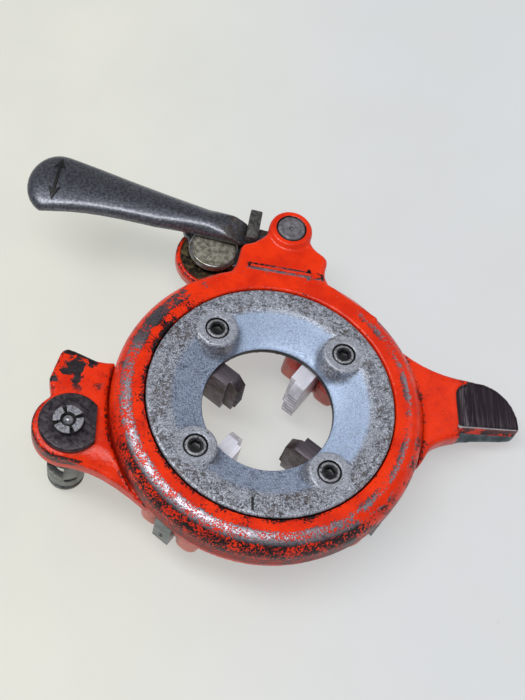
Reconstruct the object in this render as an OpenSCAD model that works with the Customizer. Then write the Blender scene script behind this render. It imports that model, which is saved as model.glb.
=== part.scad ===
/* [Pipe and dies] */
// Crest radius of the chaser teeth at the throat, dies closed on the pipe
die_tip_r = 15.8; // [15:0.1:17]
// Radius where the throat chamfer starts on the front face of a die
throat_r = 20; // [18.5:0.1:22]
// How far the outer end of a closed die lies inside the ring's outer face
die_end_step = 0.5; // [0.3:0.1:1.5]
// Thickness of a die
die_thick = 8.2; // [7:0.1:9]
// Height of a die along the pipe
die_height = 23; // [20:0.5:26]
// Offset of the die slots from the pipe axis, so that the cutting edge lies on the radius
die_offset = 2.1; // [1:0.1:3]
// Direction of the first die
die_angle = 52.8; // [50:0.1:56]
// Pitch of the pipe thread
thread_pitch = 2.21; // [1.4:0.01:3.2]
// Depth of the chaser teeth
tooth_depth = 1.4; // [0.8:0.1:1.8]
// Distance that each die backs away when the head opens
die_travel = 2.5; // [1.5:0.1:3]

/* [Cover plate] */
// Radius of the cover plate
plate_r = 54; // [52:0.5:56]
// Radius of the pipe hole in the cover plate
plate_bore_r = 28.9; // [26:0.1:31]
// Height of the plate's rim over the dies
plate_h = 13.5; // [12:0.5:16]
// Width of the flat rim
rim_w = 9; // [7:0.5:11]
// Thickness of the plate at the pipe hole
lip_h = 3.5; // [2.5:0.1:5]
// Radius of the circle of screws
screw_circle_r = 40.2; // [39:0.1:41.5]
// Angle by which each screw trails its die
screw_lag = 15.9; // [14:0.1:18]
// Radius of a screw boss
boss_r = 9.6; // [8:0.1:10.5]

/* [Cam ring] */
// Width of the ring outside the cover plate
ring_wall = 14.4; // [13:0.1:15]
// Radius of the bull nose
nose_r = 9; // [7:0.5:10]
// Radius of the journal that the ring turns on
journal_r = 46; // [45:0.5:47]
// Depth of the ring below the die face
ring_drop = 3.5; // [3:0.1:4.5]
// Angle through which the ring turns from closed to open
open_turn = 5; // [3:0.5:6]
// Width of a cam rib
rib_w = 4; // [3:0.1:5]
// Height of a cam rib
rib_h = 4.5; // [3:0.1:5]
// Distance of the lever pin outside the ring
pin_reach = 19.2; // [18:0.1:21]
// Direction of the lever pin
pin_angle = 84; // [82:0.5:86]
// Radius of the lever pin
pin_r = 6.4; // [5:0.1:7]
// Radius of the eye of the ring's lug
eye_r = 10.2; // [9.6:0.1:11]
// Thickness of the ring's lug
ring_lug_t = 8; // [6:0.1:9]

/* [Head casting] */
// How far the head's flange lies inside the ring's outer face
flange_step = 1.6; // [1:0.1:2.4]
// Depth of the flange's underside below the die face
flange_drop = 12.5; // [11:0.5:14]
// Inner radius of the flange
flange_bore_r = 41; // [39:0.5:42]
// Width of a guide block over both ears
guide_w = 30; // [26:0.5:32]
// Inner end of the guide blocks
guide_in_r = 31; // [30:0.5:34]
// How far the outer end of the guide blocks lies inside the ring's outer face
guide_step = 2.9; // [1.5:0.1:5]
// Thickness of the floor under a die
guide_floor = 3.2; // [2:0.1:5]
// Length of the tail outside the ring
tail_len = 46.1; // [40:0.1:52]
// Thickness of the tail
tail_t = 13; // [10:0.5:16]
// Thickness of the post lug
post_lug_t = 12.5; // [10:0.5:15]

/* [Throw-out lever] */
// Length of the lever from its pin to the middle of the paddle
lever_len = 111; // [100:1:120]
// Direction of the closed lever
lever_angle = 168.3; // [166:0.1:170]
// Radius of the paddle
paddle_r = 13.6; // [11:0.1:15]
// Half width of the lever at its neck
neck_half_w = 6; // [5:0.1:7]
// Thickness of the lever's arm
arm_t = 7.4; // [6:0.1:8]
// Angle through which the lever turns against the head from closed to open
lever_turn = 16; // [13:0.5:18]
// Distance of the cam stud outside the ring
stud_reach = 19.8; // [18:0.1:21]
// Direction of the cam stud
stud_angle = 106.2; // [104:0.1:107]
// Radius of the cam stud's head
stud_head_r = 11.8; // [10:0.1:12.5]
// Radius of the cam stud's shank
stud_r = 4.8; // [4:0.1:5.5]

/* [Carriage post] */
// Distance of the post outside the ring, across the head
post_reach = 16.4; // [14:0.1:19]
// Place of the post along the head
post_y = -13; // [-16:0.1:-10]
// Radius of the post
post_r = 8.6; // [8:0.1:9.5]
// Distance of the post's foot below the die face
post_drop = 53.5; // [45:0.5:58]
// Radius of the washer on the post
washer_r = 12.6; // [11:0.1:13.5]

/* [Hidden] */
$fn = 64;
// Gap between pieces that slide or turn past each other
run_gap = 0.3;
// Radial gap of a bearing fit
fit_gap = 0.06;
// Gap on each side of a die in its slot and over its front face
slot_gap = 0.06;
// Radial gap of a piece seated for good in its hole
seat_gap = 0.03;
// Overlap that joins solids of one piece, and reach of a cut past a face
eps = 0.5;
cut = 60;

// Levels, measured up from the front face of the dies
ring_bottom = -ring_drop;
flange_top = ring_bottom - run_gap;
groove_floor = ring_bottom - rib_h - run_gap;
ledge_z = 5.7;
die_bottom = -die_height;
guide_bottom = die_bottom - run_gap - guide_floor;
ring_lug_bottom = plate_h - ring_lug_t;
lever_top = ring_lug_bottom - run_gap;
arm_bottom = lever_top - arm_t;
stud_head_t = 2.8;
stud_head_top = arm_bottom - run_gap;
stud_head_bottom = stud_head_top - stud_head_t;
claw_t = 4;
claw_top = stud_head_bottom - run_gap;
claw_bottom = claw_top - claw_t;
stud_lug_top = claw_bottom - run_gap;
stud_lug_t = 8;
post_lug_top = 0.8;
tail_top = 4;
eye_rise = 1.8;
// Step of the lug below the flat top of the ring, and of its underside above the eye's
lug_step = 0.4;

// Outer radius of the cam ring, and what ends inside it
ring_r = plate_r + ring_wall;
die_outer_r = ring_r - die_end_step;
flange_r = ring_r - flange_step;
guide_out_r = ring_r - guide_step;
// Radius of the ring for which the outlines of the tail and the lugs are drawn. They move with it
drawn_r = 68.4;

// Ratio of the cam: radial travel of a die for each degree of ring turn
cam_rate = die_travel / open_turn;
die_top_r = journal_r - die_travel - 1;
slot_w = die_thick + 2 * slot_gap;
rib_r = (journal_r + ring_r) / 2 + 0.3;
// Reach of a cam rib to each side of its die, and room left round the ribs in their groove
rib_back = 7;
rib_ahead = 3 + open_turn;
groove_room = 0.8;
// Room left round the ring inside the tail and the post lug
ring_room = 0.7;
groove_in = rib_r - cam_rate * rib_back - rib_w / 2 - groove_room;
groove_out = rib_r + cam_rate * rib_ahead + rib_w / 2 + groove_room;
screw_r = 3.15;
screw_head_r = 4.75;
screw_head_h = 6.35;
screw_len = 22;
screw_angle = die_angle - screw_lag;
screw_sink = 0.4;
dowel_r = 1.6;
dowel_sink = 6;
dowel_rise = 2.6;
shank_r = 6.5;
spigot_r = 4.2;
washer_t = 2.6;
stud_washer_t = 1.6;
pin_arm = ring_r + pin_reach;
pin = [pin_arm * cos(pin_angle), pin_arm * sin(pin_angle)];
stud_arm = ring_r + stud_reach;
stud = [stud_arm * cos(stud_angle), stud_arm * sin(stud_angle)];
post = [-ring_r - post_reach, post_y];

// Points on an arc
function arc(c, r, a0, a1, n) =
    [for (i = [0:n]) let (a = a0 + (a1 - a0) * i / n) [c[0] + r * cos(a), c[1] + r * sin(a)]];
// Points on a cubic curve, without its last point
function curve(p, q, s, t, n) =
    [for (i = [0:n - 1]) let (u = i / n, v = 1 - u) v*v*v*p + 3*v*v*u*q + 3*v*u*u*s + u*u*u*t];
function unit(v) = v / max(norm(v), 1e-9);
function left(v) = [-v[1], v[0]];
function spin(p, a) = [p[0] * cos(a) - p[1] * sin(a), p[0] * sin(a) + p[1] * cos(a)];
// Inward normal at each corner of a counterclockwise outline
function inward(pts) = let (n = len(pts)) [for (i = [0:n - 1])
    let (a = left(unit(pts[i] - pts[(i + n - 1) % n])), b = left(unit(pts[(i + 1) % n] - pts[i])))
    let (m = unit(a + b))
    m / max(m * a, 0.5)];

// Triangles across an outline that runs out on one side and comes back on the other
function cap(pts) = let (n = len(pts), h = floor(n / 2)) concat(
    [for (i = [0:h - 2]) let (j = n - 1 - i) each norm(pts[i] - pts[j - 1]) < norm(pts[i + 1] - pts[j])
        ? [[i, i + 1, j - 1], [i, j - 1, j]] : [[i, i + 1, j], [i + 1, j - 1, j]]],
    n % 2 == 1 ? [[h - 1, h, h + 1]] : []);

// A plate with rounded edges from a counterclockwise outline; r_top is one radius for each point
module rounded_slab(pts, z0, z1, r_low, r_top, steps = 4) {
    n = len(pts);
    inw = inward(pts);
    low = [for (j = [0:steps]) let (a = 90 * j / steps) [r_low * (1 - sin(a)), z0 + r_low * (1 - cos(a))]];
    low_points = [for (row = low) for (i = [0:n - 1])
        [pts[i][0] + inw[i][0] * row[0], pts[i][1] + inw[i][1] * row[0], row[1]]];
    top_points = [for (j = [0:steps]) let (a = 90 * j / steps)
        for (i = [0:n - 1]) let (in = r_top[i] * (1 - cos(a)))
        [pts[i][0] + inw[i][0] * in, pts[i][1] + inw[i][1] * in, z1 - r_top[i] * (1 - sin(a))]];
    m = 2 * (steps + 1);
    walls = [for (j = [0:m - 2]) for (i = [0:n - 1]) let (k = (i + 1) % n) each
        [[j * n + i, (j + 1) * n + k, j * n + k], [j * n + i, (j + 1) * n + i, (j + 1) * n + k]]];
    top = (m - 1) * n;
    polyhedron(concat(low_points, top_points),
        concat(walls, cap(pts), [for (t = cap(pts)) [top + t[2], top + t[1], top + t[0]]]), 6);
}

// A drawn point, and a drawn outline, moved out with the ring
function moved(p) = p + unit(p) * (ring_r - drawn_r);
function moved_out(pts) = [for (p = pts) moved(p)];

// The same edge radius at every point of an outline
function all_round(pts, r) = [for (p = pts) r];

// Places a shape drawn with x along the die and z along the pipe at one of the four dies
module at_die(i) { rotate(die_angle + 90 * i) translate([0, -die_offset, 0]) children(); }

// Spiral strip of the cam at the first die, widened by a gap on both sides
function cam_side(a0, a1, shift, n) =
    [for (i = [0:n]) let (a = a0 + (a1 - a0) * i / n, r = rib_r + cam_rate * a + shift)
        [r * cos(a), r * sin(a)]];
function cam_strip(a0, a1, half, n = 10) = concat(cam_side(a0, a1, half, n), cam_side(a1, a0, -half, n));

// Place of the cam stud in the frame of the closed lever, for a share of the opening
function stud_in_lever(u) = spin(stud - spin(pin, -open_turn * u), -lever_turn * u);

module guide_ear(side) {
    ear_w = (guide_w - slot_w) / 2;
    y = side * (slot_w + ear_w) / 2;
    round_r = 6;
    intersection() {
        translate([0, y, guide_bottom]) linear_extrude(-guide_bottom) union() {
            translate([guide_in_r + ear_w / 2, 0]) circle(ear_w / 2);
            translate([guide_out_r - ear_w / 2, 0]) circle(ear_w / 2);
            translate([guide_in_r + ear_w / 2, -ear_w / 2]) square([guide_out_r - guide_in_r - ear_w, ear_w]);
        }
        rotate([90, 0, 0]) linear_extrude(3 * guide_w, center = true) union() {
            translate([guide_in_r + round_r, guide_bottom + round_r]) circle(round_r);
            translate([guide_out_r - round_r, guide_bottom + round_r]) circle(round_r);
            translate([guide_in_r + round_r, guide_bottom])
                square([guide_out_r - guide_in_r - 2 * round_r, round_r + eps]);
            translate([guide_in_r, guide_bottom + round_r]) square([guide_out_r - guide_in_r, -guide_bottom]);
        }
    }
}

module head_flange() {
    rim_chamfer = 3.1;
    rotate_extrude($fn = 96) polygon([[flange_bore_r, 0], [flange_r, 0],
        [flange_r, rim_chamfer - flange_drop], [flange_r - rim_chamfer, -flange_drop],
        [flange_bore_r, -flange_drop]]);
}

// Space that the cam ring and its ribs turn in
module ring_space() {
    hub = journal_r - 0.4;
    rotate_extrude($fn = 96) polygon([[hub, cut], [hub, flange_top], [groove_in, flange_top],
        [groove_in, groove_floor], [groove_out, groove_floor], [groove_out, flange_top],
        [ring_r + ring_room, flange_top], [ring_r + ring_room, cut]]);
}

// Outline of the tail, from the flange out to the rounded tip and back
tip = drawn_r + tail_len;
tail_pts = moved_out(concat(
    curve([53.2, -28.2], [60.5, -26.4], [67, -23.6], [70.5, -16], 5),
    curve([70.5, -16], [74, -8], [88, -6], [tip - 4, -4.5], 8),
    arc([tip - 4, -0.5], 4, -90, 0, 4),
    curve([tip, 0.5], [tip, 12], [tip - 8, 20.7], [tip - 19, 21.3], 7),
    curve([tip - 19, 21.3], [84, 22], [73, 25], [62, 33.8], 7),
    [[62, 33.8], [50, 40]]));

// Outline of the post lug, with its square block above and its round boss below
post_lug_r = 15.3;
post_lug_pts = concat(
    moved_out(concat(
        curve([-54, 26.5], [-60, 18], [-68, 17], [-75, 18.5], 5),
        [[-75, 18.5], [-84, 22.3]],
        arc([-87.5, 19.9], 3.4, 80, 165, 3),
        [[-94.4, 8.6]])),
    arc(post, post_lug_r, 122, 262, 14),
    curve(post + [0, 0.1 - post_lug_r], post + [10.8, -16.6], moved([-66, -33]), moved([-50, -46]), 6),
    [moved([-50, -46])]);

stud_lug_r = 17.3;
stud_lug_pts = concat(arc(stud, stud_lug_r, 15, 256, 18), moved_out([[-25, 55], [10, 58], [3, 76]]));

// Flange with the four guide blocks, hollowed for the ring
module head_body() {
    difference() {
        union() {
            head_flange();
            for (i = [0:3]) at_die(i) {
                guide_ear(-1);
                guide_ear(1);
                translate([guide_in_r + 4, -guide_w / 4, guide_bottom])
                    cube([guide_out_r - guide_in_r - 8, guide_w / 2, guide_floor]);
            }
        }
        ring_space();
    }
}

// Room for the turning ring inside the tail and the post lug
module ring_clearance() {
    translate([0, 0, flange_top]) cylinder(r = ring_r + ring_room, h = cut);
}

// Tail with the milled pad on top of its tip and the step along its lower side
module tail() {
    pad_x = ring_r + 17.1;
    pad_corner_y = 13;
    pad_corner_r = 6.5;
    pad_depth = 1.5;
    step_y = -1.9;
    step_z = tail_top - 7.2;
    bevel = 3.6;
    difference() {
        rounded_slab(tail_pts, tail_top - tail_t, tail_top, 5, all_round(tail_pts, 2.5));
        ring_clearance();
        translate([0, 0, tail_top - pad_depth]) linear_extrude(cut) union() {
            translate([pad_x + pad_corner_r, pad_corner_y]) circle(pad_corner_r);
            translate([pad_x, -cut]) square([cut, cut + pad_corner_y]);
            translate([pad_x + pad_corner_r, -cut]) square([cut, 2 * cut]);
        }
        translate([pad_x + 1, 0, 0]) rotate([90, 0, 90]) linear_extrude(cut)
            polygon([[step_y, cut], [step_y, step_z], [step_y - bevel, step_z - bevel],
                [-cut, step_z - bevel], [-cut, cut]]);
    }
}

module post_lug() {
    difference() {
        rounded_slab(post_lug_pts, post_lug_top - post_lug_t, post_lug_top, 2.2,
            all_round(post_lug_pts, 1.5));
        ring_clearance();
    }
}

// Places a shape at each of the four cover screws
module at_screws() {
    for (i = [0:3]) rotate(screw_angle + 90 * i) translate([screw_circle_r, 0, 0]) children();
}

// Places a locating dowel in the guide blocks of two opposite dies
module at_dowels() {
    dowel_x = 36;
    dowel_y = 9.6;
    for (i = [0, 2]) at_die(i) translate([dowel_x, dowel_y, 0]) children();
}

module head_casting() {
    color([0.85, 0.17, 0.06]) difference() {
        union() {
            head_body();
            tail();
            post_lug();
            rounded_slab(stud_lug_pts, stud_lug_top - stud_lug_t, stud_lug_top, 2,
                all_round(stud_lug_pts, 1));
        }
        for (i = [0:3]) at_die(i)
            translate([0, -slot_w / 2, die_bottom - run_gap]) cube([100, slot_w, cut]);
        at_screws() translate([0, 0, plate_h - screw_sink - screw_len - 1])
            cylinder(r = screw_r + seat_gap, h = cut);
        at_dowels() translate([0, 0, -dowel_sink]) cylinder(r = dowel_r + seat_gap, h = cut);
        translate([post[0], post[1], -cut]) cylinder(r = shank_r + seat_gap, h = 2 * cut);
        translate([stud[0], stud[1], -cut]) cylinder(r = stud_r + seat_gap, h = 2 * cut);
    }
}

module cover_plate() {
    dish_r = plate_r - rim_w;
    rim_z = ledge_z + run_gap;
    color([0.55, 0.56, 0.58]) difference() {
        union() {
            rotate_extrude($fn = 96) polygon(concat(
                [[plate_bore_r, 0], [journal_r, 0], [journal_r, rim_z],
                 [plate_r - 0.5, rim_z], [plate_r, rim_z + 0.5],
                 [plate_r, plate_h - 0.8], [plate_r - 0.8, plate_h]],
                curve([dish_r + 1, plate_h], [dish_r - 0.6, plate_h], [dish_r - 2, plate_h - 0.6],
                    [dish_r - 4.5, plate_h - 2.6], 5),
                curve([dish_r - 4.5, plate_h - 2.6], [dish_r - 7, plate_h - 4.6],
                    [plate_bore_r + 4, lip_h + 1.4], [plate_bore_r + 0.6, lip_h], 5),
                [[plate_bore_r + 0.6, lip_h], [plate_bore_r, lip_h - 0.6]]));
            intersection() {
                at_screws() screw_boss();
                boss_room(rim_z);
            }
        }
        at_screws() {
            translate([0, 0, -1]) cylinder(r = screw_r + 0.15, h = cut);
            translate([0, 0, plate_h - screw_sink - screw_head_h]) cylinder(r = screw_head_r + 0.25, h = cut);
        }
        at_dowels() translate([0, 0, -1]) cylinder(r = dowel_r + seat_gap, h = dowel_rise + 1.2);
    }
}

// Space inside the plate that the bosses may fill, clear of the ring below the rim
module boss_room(rim_z) {
    inset = 0.5;
    rotate_extrude($fn = 96) polygon([[0, 0.5], [journal_r - inset, 0.5], [journal_r - inset, rim_z + inset],
        [plate_r - 2 * inset, rim_z + inset], [plate_r - 2 * inset, cut], [0, cut]]);
}

// Round boss round a screw, flared where it meets the dish
module screw_boss() {
    rotate_extrude() polygon(concat([[0, 1], [boss_r, 1], [boss_r + 1.6, lip_h + 1]],
        curve([boss_r + 1.6, lip_h + 1], [boss_r, lip_h + 2], [boss_r, lip_h + 3],
            [boss_r - 0.2, plate_h - 1.2], 4),
        [[boss_r - 0.2, plate_h - 1.2], [boss_r - 1.2, plate_h - 0.2], [0, plate_h - 0.2]]));
}

module cover_screws() {
    head_z = plate_h - screw_sink;
    foot = head_z - screw_len;
    seat = head_z - screw_head_h;
    color([0.12, 0.12, 0.13]) at_screws() difference() {
        rotate_extrude() polygon([[0, foot], [screw_r - 0.6, foot], [screw_r, foot + 0.8], [screw_r, seat],
            [screw_head_r, seat], [screw_head_r, head_z - 0.5], [screw_head_r - 0.5, head_z], [0, head_z]]);
        translate([0, 0, head_z - 3]) cylinder(r = 2.75, h = cut, $fn = 6);
    }
}

ring_lug_pts = concat(
    moved_out(concat(
        [[40, 38]],
        curve([49, 44], [40, 51], [27, 57], [25.3, 65], 6),
        curve([25.3, 65], [24.6, 69], [28.5, 73], [25, 75.5], 4))),
    curve(moved([25, 75.5]), moved([21, 78]), moved([19.5, 80]), pin + [eye_r - 0.4, -5], 3),
    arc(pin, eye_r - 1.2, -15, 165, 10),
    curve(pin + [0.6 - eye_r, -0.5], moved([-2.5, 84]), moved([-7, 79]), moved([-12.3, 78.5]), 4),
    moved_out(concat(
        curve([-12.3, 78.5], [-15, 77.5], [-13, 70], [-18, 64], 4),
        curve([-18, 64], [-24, 58], [-40, 56], [-49, 45], 6),
        [[-49, 45], [-40, 38]])));

// Edge radius of the lug: small round the eye, growing into the bull nose where the lug leaves the ring
function lug_edge(pts) = [for (p = pts)
    norm(p) < ring_r - 2 ? 0.5 : 2.2 + 2.2 * min(max((ring_r + 6.6 - norm(p)) / 9, 0), 1)];

// Raised eye of the lug round the lever pin
module lug_eye() {
    top = plate_h + eye_rise;
    translate([pin[0], pin[1], 0]) rotate_extrude() polygon(concat(
        [[0, ring_lug_bottom], [eye_r, ring_lug_bottom]],
        curve([eye_r, top - 2.4], [eye_r, top - 1], [eye_r - 0.6, top], [eye_r - 1.8, top], 4),
        [[eye_r - 1.8, top], [0, top]]));
}

module cam_ring() {
    color([0.87, 0.18, 0.06]) difference() {
        union() {
            rotate_extrude($fn = 96) difference() {
                union() {
                    translate([ring_r - nose_r, plate_h - nose_r]) circle(nose_r);
                    translate([journal_r + fit_gap, ring_bottom])
                        square([ring_r - nose_r - journal_r, plate_h - ring_bottom]);
                    translate([journal_r + fit_gap, ring_bottom])
                        square([ring_r - journal_r - fit_gap, plate_h - nose_r - ring_bottom]);
                }
                translate([0, ledge_z]) square([plate_r + 0.4, cut]);
                translate([0, ring_bottom - cut]) square([2 * ring_r, cut]);
            }
            difference() {
                rounded_slab(ring_lug_pts, ring_lug_bottom + lug_step, plate_h - lug_step, 0.4,
                    lug_edge(ring_lug_pts));
                cylinder(r = plate_r + 1.2, h = cut);
            }
            lug_eye();
            for (i = [0:3]) rotate(die_angle + 90 * i) translate([0, 0, ring_bottom - rib_h])
                linear_extrude(rib_h + eps) polygon(cam_strip(-rib_back, rib_ahead, rib_w / 2));
        }
        translate([pin[0], pin[1], 0]) cylinder(r = pin_r + fit_gap, h = cut);
    }
}

module lever_pin() {
    top = plate_h + eye_rise + 0.3;
    bottom = claw_bottom - 2.6;
    groove = claw_bottom - 1.6;
    edge = 0.6;
    color([0.5, 0.5, 0.52]) translate([pin[0], pin[1], 0]) difference() {
        rotate_extrude() polygon([[0, bottom], [pin_r - edge, bottom], [pin_r, bottom + edge],
            [pin_r, groove], [pin_r - clip_d, groove], [pin_r - clip_d, groove + 1.3], [pin_r, groove + 1.3],
            [pin_r, top - edge], [pin_r - edge, top], [0, top]]);
        translate([0, 0, top - 1]) cylinder(r1 = 0.4, r2 = 1.5, h = 1.01);
    }
}

// Depth of the clip's groove in the lever pin
clip_d = 1.2;
module pin_clip() {
    color([0.3, 0.3, 0.32]) translate([pin[0], pin[1], claw_bottom - 1.5]) difference() {
        cylinder(r = pin_r + 2.6, h = 1.1);
        translate([0, 0, -1]) cylinder(r = pin_r - clip_d + 0.1, h = 4);
        translate([0, -2.4, -1]) cube([20, 4.8, 4]);
    }
}

hub_r = 10.1;
bush_r = 8.4;
module throw_out_lever() {
    color([0.09, 0.09, 0.1]) difference() {
        union() {
            translate([pin[0], pin[1], claw_bottom]) cylinder(r = hub_r, h = lever_top - claw_bottom);
            lever_arm();
            claw_plate();
        }
        translate([pin[0], pin[1], -cut]) cylinder(r = bush_r + fit_gap / 2, h = 2 * cut);
        translate([pin[0], pin[1], claw_bottom - 1]) linear_extrude(claw_t + 1 + run_gap) stud_slot();
        // Relief that clears the head's flange when the lever is open
        translate([pin[0], pin[1], claw_bottom - 1]) translate(spin(-spin(pin, -open_turn), -lever_turn))
            cylinder(r = flange_r + 2 * run_gap, h = claw_t + 1 + run_gap);
        stop_bar_space();
    }
}

// Slot along the path of the stud, seen from the lever, open towards the head
module stud_slot() {
    path = [for (i = [-10:12]) stud_in_lever(i / 12)];
    n = len(path);
    side = [for (i = [0:n - 1]) left(unit(path[min(i + 1, n - 1)] - path[max(i - 1, 0)]))];
    w = stud_r + run_gap;
    polygon(concat([for (i = [0:n - 1]) path[i] + w * side[i]],
        [for (i = [n - 1:-1:0]) path[i] - w * side[i]]));
    translate(path[n - 1]) circle(w);
}

// Lower plate of the lever that takes the stud
module claw_plate() {
    wall = stud_r + run_gap + 3.2;
    translate([pin[0], pin[1], claw_bottom]) linear_extrude(claw_t) union() {
        for (u = [0, 0.5, 1]) translate(stud_in_lever(u)) circle(wall);
        polygon([[0, -hub_r], [0, hub_r], stud_in_lever(1) + [0, wall - 0.4], stud_in_lever(0.5),
            stud_in_lever(0) + [0, 0.4 - wall]]);
    }
}

// Outline of the arm with x from the pin to the paddle and y towards the head
arm_pts = concat(
    curve([0, -neck_half_w], [40, -neck_half_w], [70, -9.6], [lever_len - 6, -paddle_r + 0.3], 9),
    arc([lever_len, 0], paddle_r, -95, 72, 12),
    curve([lever_len - 4, paddle_r - 2.4], [90, 7.2], [70, neck_half_w], [0, neck_half_w + 0.4], 9));
module lever_arm() {
    difference() {
        translate([pin[0], pin[1], 0]) rotate(lever_angle)
            rounded_slab(arm_pts, arm_bottom, lever_top, 2.6, all_round(arm_pts, 2.6));
        translate([pin[0], pin[1], neck_top])
            cylinder(r1 = shoulder_r - 7, r2 = shoulder_r + 3, h = lever_top - neck_top + 0.01);
    }
}

// Distance of the arm's shoulder from the pin, and level of the neck that runs under the ring's lug
shoulder_r = 27;
neck_top = 0.4;
bar_w = 5.6;
bar_len = 16;
bar_at = pin + [-19.76, 0.28];
bar_lean = -9;
bar_sink = 0.8;
module at_stop_bar() {
    translate([bar_at[0], bar_at[1], neck_top - bar_sink]) rotate(bar_lean) children();
}

module stop_bar_space() {
    at_stop_bar() cube([bar_w + 2 * seat_gap, bar_len + 2 * seat_gap, cut]);
}

module lever_stop_bar() {
    color([0.42, 0.42, 0.42]) at_stop_bar() translate([seat_gap, seat_gap, 0])
        cube([bar_w, bar_len, lever_top - neck_top + bar_sink - 0.1]);
}

module lever_bush() {
    color([0.6, 0.45, 0.25]) translate([pin[0], pin[1], claw_bottom]) difference() {
        cylinder(r = bush_r, h = lever_top - claw_bottom);
        translate([0, 0, -1]) cylinder(r = pin_r + fit_gap, h = cut);
    }
}

module cam_stud() {
    foot = stud_lug_top - stud_lug_t - stud_washer_t - 0.8;
    color([0.5, 0.49, 0.46]) translate([stud[0], stud[1], 0]) rotate_extrude() polygon([
        [0, foot], [stud_r - 0.6, foot], [stud_r, foot + 0.6], [stud_r, stud_head_bottom],
        [stud_head_r, stud_head_bottom], [stud_head_r, stud_head_top - 1.2],
        [stud_head_r - 1.2, stud_head_top], [0, stud_head_top]]);
}

// Washer under the riveted end of the cam stud
module stud_washer() {
    low = stud_lug_top - stud_lug_t - stud_washer_t;
    color([0.5, 0.5, 0.52]) translate([stud[0], stud[1], low]) difference() {
        cylinder(r = stud_r + 4, h = stud_washer_t);
        translate([0, 0, -1]) cylinder(r = stud_r + seat_gap, h = cut);
    }
}

module cover_dowels() {
    color([0.62, 0.62, 0.64]) at_dowels() translate([0, 0, -dowel_sink])
        cylinder(r = dowel_r, h = dowel_sink + dowel_rise);
}

// One die: throat chamfer, row of teeth, notch for the cam rib and chip relief at the tip
module die(i) {
    throat_z = -4.6;
    teeth = floor((die_height + throat_z - 1) / thread_pitch);
    taper = 1 / 32;
    step_z = ring_bottom - run_gap;
    profile = concat([[throat_r, -slot_gap]],
        [for (k = [0:teeth - 1]) let (z = throat_z - k * thread_pitch, r = die_tip_r + taper * z) each
            [[r, z], [r, z - 0.25 * thread_pitch], [r + tooth_depth, z - 0.6 * thread_pitch]]],
        [[die_tip_r + 1, die_bottom], [die_outer_r, die_bottom], [die_outer_r, step_z],
         [die_top_r, step_z], [die_top_r, -slot_gap]]);
    color([0.72, 0.72, 0.74]) difference() {
        at_die(i) rotate([90, 0, 0]) linear_extrude(die_thick, center = true) polygon(profile);
        at_die(i) translate([throat_r - 8, die_thick / 2 - 2.6, -cut]) cube([9, cut, 2 * cut]);
        rotate(die_angle + 90 * i) translate([0, 0, ring_bottom - rib_h - run_gap])
            linear_extrude(cut) polygon(cam_strip(-9, 9, rib_w / 2 + run_gap));
    }
}

// Hollow post with its shank in the lug, a snap groove at the foot, a window and a cross slot
spigot_top = post_lug_top + washer_t + 2.4;
pocket_depth = 9;
ball_r = 2.5;
ball_z = spigot_top - 1.6;
module carriage_post() {
    foot = -post_drop;
    shoulder = post_lug_top - post_lug_t;
    groove_d = 1.4;
    bore_r = 5;
    window_w = 10;
    slot_h = 2.8;
    slot_len = 6.4;
    // Shallow groove that ends the bearing length of the post above its window
    relief_z = foot + 26.6;
    relief_d = 0.4;
    color([0.25, 0.26, 0.27]) translate([post[0], post[1], 0]) difference() {
        rotate_extrude() polygon([[0, foot], [post_r - 1.2, foot], [post_r - 0.2, foot + 1],
            [post_r - 0.2, foot + 2.4], [post_r - groove_d, foot + 2.9], [post_r - groove_d, foot + 5],
            [post_r, foot + 5.6], [post_r, relief_z], [post_r - relief_d, relief_z],
            [post_r - relief_d, relief_z + 1], [post_r, relief_z + 1], [post_r, shoulder],
            [shank_r, shoulder], [shank_r, post_lug_top], [spigot_r, post_lug_top], [spigot_r, spigot_top],
            [0, spigot_top]]);
        translate([0, 0, spigot_top - pocket_depth]) cylinder(r = ball_r + 0.1, h = cut);
        translate([0, 0, foot - 1]) cylinder(r = bore_r, h = shoulder - foot - 2);
        rotate(230) translate([0, -window_w / 2, foot + 14]) cube([cut, window_w, 12]);
        translate([0, 0, foot + 12.2]) rotate(288) rotate([90, 0, 90]) linear_extrude(cut) union() {
            for (side = [-1, 1]) translate([side * (slot_len - slot_h) / 2, 0]) circle(slot_h / 2);
            square([slot_len - slot_h, slot_h], center = true);
        }
    }
}

module post_washer() {
    hole_r = spigot_r + 0.1;
    flat = 2.6;
    color([0.33, 0.34, 0.36]) translate([post[0], post[1], post_lug_top]) difference() {
        rotate_extrude() polygon([[hole_r, 0], [washer_r, 0], [washer_r, washer_t - 0.6],
            [washer_r - 0.6, washer_t], [hole_r, washer_t]]);
        translate([washer_r - flat, -cut, -1]) cube([cut, 2 * cut, cut]);
    }
}

module post_nut() {
    hole_r = spigot_r + seat_gap;
    nut_r = 6;
    nut_h = 2;
    notch_w = 1.8;
    color([0.62, 0.62, 0.63]) translate([post[0], post[1], post_lug_top + washer_t]) difference() {
        rotate_extrude() polygon([[hole_r, 0], [nut_r, 0], [nut_r, nut_h - 0.5], [nut_r - 0.5, nut_h],
            [hole_r, nut_h]]);
        for (a = [20, 110]) rotate(a)
            translate([-cut, -notch_w / 2, nut_h / 2]) cube([2 * cut, notch_w, nut_h]);
    }
}

module post_ball() {
    color([0.2, 0.2, 0.22]) translate([post[0], post[1], ball_z]) sphere(r = ball_r);
}

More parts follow.
